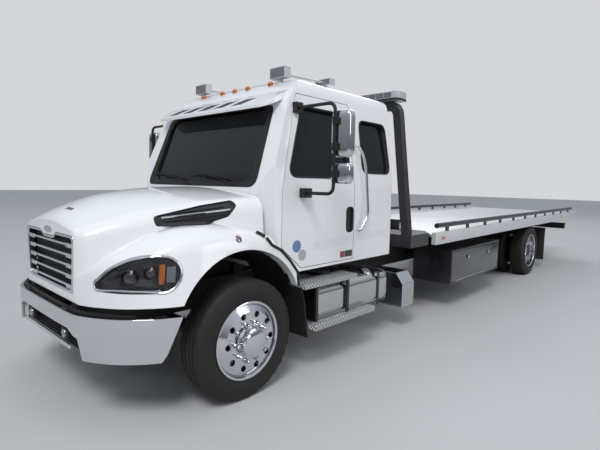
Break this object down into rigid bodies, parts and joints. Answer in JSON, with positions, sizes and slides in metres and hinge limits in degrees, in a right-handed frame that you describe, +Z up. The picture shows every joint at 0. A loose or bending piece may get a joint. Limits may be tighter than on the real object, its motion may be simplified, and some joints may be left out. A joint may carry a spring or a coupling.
{
  "type": "flatbed tow truck",
  "caption": "Bonneted tow truck with an extended cab and a flat bed that slides back and tilts to the ground for loading cars.",
  "frame": {"origin": "on the ground, midway along and across the truck", "axes": "+X forward, +Y to the driver's side (left), +Z up"},
  "size_m": [11.255, 3.09, 2.7],
  "materials": {
    "white_paint": "gloss white",
    "black_paint": "satin black",
    "frame_paint": "chassis black",
    "spring_steel": "dark steel",
    "cast_metal": "rough",
    "chrome": "polished",
    "polished_rim": "polished",
    "polished_steel": "polished dark steel",
    "bright_aluminium": "tread plate",
    "deck_aluminium": "milled",
    "tyre": "matt",
    "black_rubber": "matt",
    "black_plastic": "matt",
    "grey_plastic": "matt",
    "seat_cloth": "woven",
    "lamp_black": "gloss",
    "lamp_glass": "clear lens over black",
    "glass": "tinted"
  },
  "bodies": {
    "chassis": {"chassis_frame": "frame_paint", "front_axle": "frame_paint", "rear_axle": "frame_paint", "leaf_springs": "spring_steel", "engine": "cast_metal", "propeller_shaft": "spring_steel", "radiator": "cast_metal", "front_bumper": "chrome", "bumper_mesh": "black_plastic", "fuel_tank": "black_paint", "treatment_box": "bright_aluminium", "cab_steps": "bright_aluminium", "battery_box": "bright_aluminium", "cab_shell": "white_paint", "cab_glass": "glass", "sun_visor": "white_paint", "dashboard": "grey_plastic", "seats": "seat_cloth", "light_pylon": "black_paint", "warning_lights": "lamp_black", "toolboxes": "black_paint", "mudflaps": "black_rubber"},
    "hood": {"hood": "white_paint", "grille": "chrome", "headlights": "lamp_glass"},
    "tilt_frame": {"tilt_frame": "black_paint"},
    "bed": {"bed_deck": "deck_aluminium", "bed_beams": "black_paint", "bed_sills": "black_paint", "bed_handrails": "black_paint", "winch": "black_paint"},
    "wheel_lift": {"wheel_lift": "black_paint"},
    "tilt_barrels": {"tilt_barrels": "black_paint"},
    "tilt_rods": {"tilt_rods": "chrome"},
    "door_left": {"door_left": "white_paint", "door_glass_left": "glass", "mirror_left": "chrome"},
    "knuckle_left": {"knuckle_left": "frame_paint"},
    "front_wheel_left": {"front_tyre_left": "tyre", "front_rim_left": "polished_rim"},
    "rear_wheels_left": {"rear_tyres_left": "tyre", "rear_rims_left": "polished_rim"},
    "toolbox_door_left": {"toolbox_door_left": "polished_steel"},
    "door_right": {"door_right": "white_paint", "door_glass_right": "glass", "mirror_right": "chrome"},
    "knuckle_right": {"knuckle_right": "frame_paint"},
    "front_wheel_right": {"front_tyre_right": "tyre", "front_rim_right": "polished_rim"},
    "rear_wheels_right": {"rear_tyres_right": "tyre", "rear_rims_right": "polished_rim"},
    "toolbox_door_right": {"toolbox_door_right": "polished_steel"}
  },
  "joints": [
    {"name": "steer_left", "type": "hinge", "parent": "chassis", "child": "knuckle_left", "pos_m": [4.5625, 0.85, 0.46], "axis": [0, 0, 1], "range_deg": [-34, 34]},
    {"name": "front_wheel_left_spin", "type": "hinge", "parent": "knuckle_left", "child": "front_wheel_left", "pos_m": [4.5625, 1.018, 0.46], "axis": [0, 1, 0], "continuous": true},
    {"name": "rear_wheels_left_spin", "type": "hinge", "parent": "chassis", "child": "rear_wheels_left", "pos_m": [-2.2875, 0.902, 0.46], "axis": [0, 1, 0], "continuous": true},
    {"name": "door_left_swing", "type": "hinge", "parent": "chassis", "child": "door_left", "pos_m": [4.1515, 1.06, 1.3], "axis": [0, 0, -1], "range_deg": [0, 68]},
    {"name": "toolbox_left_fold", "type": "hinge", "parent": "chassis", "child": "toolbox_door_left", "pos_m": [0.3125, 1.185, 0.382], "axis": [-1, 0, 0], "range_deg": [0, 90]},
    {"name": "steer_right", "type": "hinge", "parent": "chassis", "child": "knuckle_right", "pos_m": [4.5625, -0.85, 0.46], "axis": [0, 0, 1], "range_deg": [-34, 34]},
    {"name": "front_wheel_right_spin", "type": "hinge", "parent": "knuckle_right", "child": "front_wheel_right", "pos_m": [4.5625, -1.018, 0.46], "axis": [0, 1, 0], "continuous": true},
    {"name": "rear_wheels_right_spin", "type": "hinge", "parent": "chassis", "child": "rear_wheels_right", "pos_m": [-2.2875, -0.902, 0.46], "axis": [0, 1, 0], "continuous": true},
    {"name": "door_right_swing", "type": "hinge", "parent": "chassis", "child": "door_right", "pos_m": [4.1515, -1.06, 1.3], "axis": [0, 0, 1], "range_deg": [0, 68]},
    {"name": "toolbox_right_fold", "type": "hinge", "parent": "chassis", "child": "toolbox_door_right", "pos_m": [0.3125, -1.185, 0.382], "axis": [1, 0, 0], "range_deg": [0, 90]},
    {"name": "hood_tilt", "type": "hinge", "parent": "chassis", "child": "hood", "pos_m": [5.5225, 0, 0.79], "axis": [0, 1, 0], "range_deg": [0, 65]},
    {"name": "bed_tilt", "type": "hinge", "parent": "chassis", "child": "tilt_frame", "pos_m": [-3.4975, 0, 0.7], "axis": [0, -1, 0], "range_deg": [0, 11]},
    {"name": "bed_slide", "type": "slide", "parent": "tilt_frame", "child": "bed", "axis": [-1, 0, 0], "range_m": [0, 3.2]},
    {"name": "lift_extend", "type": "slide", "parent": "tilt_frame", "child": "wheel_lift", "axis": [-1, 0, 0], "range_m": [0, 0.6]},
    {"name": "barrel_swing", "type": "hinge", "parent": "chassis", "child": "tilt_barrels", "pos_m": [-1.9975, 0, 0.61], "axis": [0, -1, 0], "range_deg": [0, 28]},
    {"name": "rod_stroke", "type": "slide", "parent": "tilt_barrels", "child": "tilt_rods", "axis": [0.9578, 0, 0.2873], "range_m": [0, 0.169]}
  ],
  "couplings": [
    {"joint": "steer_right", "follows": "steer_left", "ratio": 1},
    {"joint": "barrel_swing", "follows": "bed_tilt", "ratio": 2.3764},
    {"joint": "rod_stroke", "follows": "bed_tilt", "m_per_rad": 0.82885}
  ]
}
